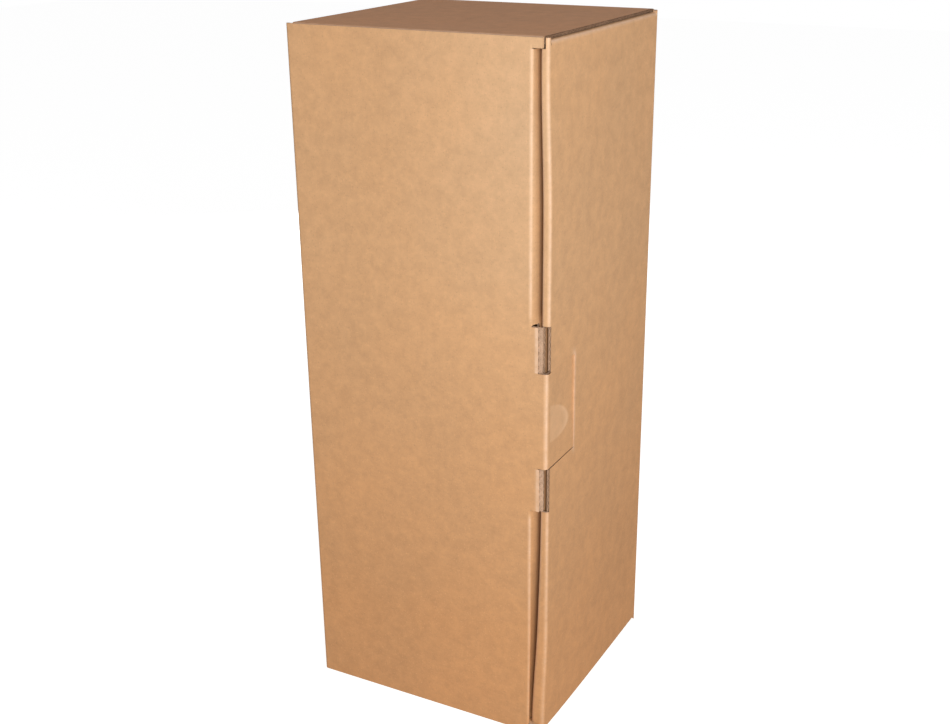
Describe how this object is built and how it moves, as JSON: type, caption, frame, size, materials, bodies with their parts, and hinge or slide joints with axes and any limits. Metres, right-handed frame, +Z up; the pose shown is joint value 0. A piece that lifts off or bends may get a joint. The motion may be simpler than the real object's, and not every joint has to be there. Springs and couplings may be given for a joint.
{
  "type": "shipping box",
  "caption": "Tall brown corrugated mailer box standing on end, with a side lid that swings open on its crease and locks with tuck flaps and a tongue.",
  "frame": {"origin": "middle of the footprint, on the surface the box stands on", "axes": "+Z up the long side, -Y out of the lid, +X out of the double front wall, -X out of the hinge wall"},
  "size_m": [0.131, 0.122, 0.34],
  "materials": {
    "kraft_board": "matte brown kraft liner"
  },
  "bodies": {
    "tray": {"tray": "kraft_board"},
    "lid": {"lid": "kraft_board"}
  },
  "joints": [
    {"name": "lid_hinge", "type": "hinge", "parent": "tray", "child": "lid", "pos_m": [-0.0655, -0.0595, 0], "axis": [0, 0, -1], "range_deg": [0, 180]}
  ]
}
